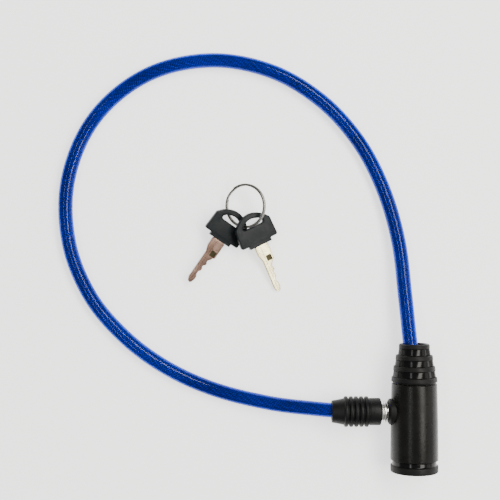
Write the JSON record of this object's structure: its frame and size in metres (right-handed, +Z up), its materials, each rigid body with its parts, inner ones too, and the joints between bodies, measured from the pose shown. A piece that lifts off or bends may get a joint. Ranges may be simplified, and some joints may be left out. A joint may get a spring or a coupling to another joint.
{
  "type": "cable lock",
  "caption": "Key-operated cable lock: looped blue sheathed wire rope with a plug-in stud, black cylindrical lock body, and keys on a split ring.",
  "frame": {"origin": "middle of the bounding box of everything but the cable, on the floor the lock lies on", "axes": "+Z up off the floor the lock lies on; +Y along the lock body from the keyway end to the cable boot; the stud enters the body along +X"},
  "size_m": [0.2059, 0.2265, 0.0256],
  "materials": {
    "lock_housing": "grey die casting, as cast",
    "body_cover": "fine-textured black",
    "end_cap": "glossy black",
    "stud_boss": "glossy black",
    "cable_boot": "black, satin rings and glossy grooves",
    "rope_ferrule": "crimped steel",
    "anchor_pin": "plain steel",
    "cable_sheath": "clear blue vinyl over wire rope",
    "wire_rope": "twisted steel strands",
    "key_plug": "machined",
    "plug_clip": "spring steel",
    "plug_cam": "plain steel",
    "latch": "plain steel",
    "stud": "bright nickel plating",
    "stud_grip": "satin black rubber",
    "split_ring": "nickel-plated spring steel",
    "key_head_a": "satin black plastic",
    "key_blade_a": "nickel-plated brass",
    "key_head_b": "satin black plastic",
    "key_blade_b": "nickel-plated brass",
    "wafer_1": "stamped",
    "wafer_2": "stamped",
    "wafer_3": "stamped",
    "wafer_4": "stamped",
    "wafer_5": "stamped"
  },
  "bodies": {
    "lock_body": {"lock_housing": "lock_housing", "body_cover": "body_cover", "end_cap": "end_cap", "stud_boss": "stud_boss", "cable_boot": "cable_boot", "rope_ferrule": "rope_ferrule", "anchor_pin": "anchor_pin", "cable_sheath": "cable_sheath", "wire_rope": "wire_rope"},
    "plug": {"key_plug": "key_plug", "plug_clip": "plug_clip", "plug_cam": "plug_cam"},
    "latch": {"latch": "latch"},
    "stud": {"stud": "stud", "stud_grip": "stud_grip"},
    "ring": {"split_ring": "split_ring"},
    "key_a": {"key_head_a": "key_head_a", "key_blade_a": "key_blade_a"},
    "key_b": {"key_head_b": "key_head_b", "key_blade_b": "key_blade_b"},
    "wafer_1": {"wafer_1": "wafer_1"},
    "wafer_2": {"wafer_2": "wafer_2"},
    "wafer_3": {"wafer_3": "wafer_3"},
    "wafer_4": {"wafer_4": "wafer_4"},
    "wafer_5": {"wafer_5": "wafer_5"}
  },
  "joints": [
    {"name": "stud_pull", "type": "slide", "parent": "lock_body", "child": "stud", "axis": [-1, 0, 0], "range_m": [0, 0.02], "deforming": ["cable_sheath", "wire_rope"]},
    {"name": "plug_turn", "type": "hinge", "parent": "lock_body", "child": "plug", "pos_m": [0.05438, -0.07672, 0.0128], "axis": [0, 1, 0], "range_deg": [0, 90]},
    {"name": "keys_lift", "type": "slide", "parent": "lock_body", "child": "ring", "axis": [0, 0, 1], "range_m": [0, 0.1]},
    {"name": "key_a_swing", "type": "hinge", "parent": "ring", "child": "key_a", "pos_m": [-0.04214, 0.05647, 0.00564], "axis": [0.7289, -0.5912, 0.3454], "range_deg": [-40, 0]},
    {"name": "key_b_swing", "type": "hinge", "parent": "ring", "child": "key_b", "pos_m": [-0.03446, 0.05444, 0.0095], "axis": [0.8719, 0.1685, 0.4597], "range_deg": [-20, 0]},
    {"name": "latch_throw", "type": "slide", "parent": "lock_body", "child": "latch", "axis": [0, 0, 1], "range_m": [0, 0.002]},
    {"name": "wafer_1_slide", "type": "slide", "parent": "plug", "child": "wafer_1", "axis": [0, 0, 1], "range_m": [0, 0.0008]},
    {"name": "wafer_2_slide", "type": "slide", "parent": "plug", "child": "wafer_2", "axis": [0, 0, -1], "range_m": [0, 0.0008]},
    {"name": "wafer_3_slide", "type": "slide", "parent": "plug", "child": "wafer_3", "axis": [0, 0, 1], "range_m": [0, 0.0008]},
    {"name": "wafer_4_slide", "type": "slide", "parent": "plug", "child": "wafer_4", "axis": [0, 0, -1], "range_m": [0, 0.0008]},
    {"name": "wafer_5_slide", "type": "slide", "parent": "plug", "child": "wafer_5", "axis": [0, 0, 1], "range_m": [0, 0.0008]}
  ],
  "couplings": [
    {"joint": "latch_throw", "follows": "plug_turn", "m_per_rad": 0.00127},
    {"joint": "wafer_2_slide", "follows": "wafer_1_slide", "ratio": 1},
    {"joint": "wafer_3_slide", "follows": "wafer_1_slide", "ratio": 1},
    {"joint": "wafer_4_slide", "follows": "wafer_1_slide", "ratio": 1},
    {"joint": "wafer_5_slide", "follows": "wafer_1_slide", "ratio": 1}
  ]
}
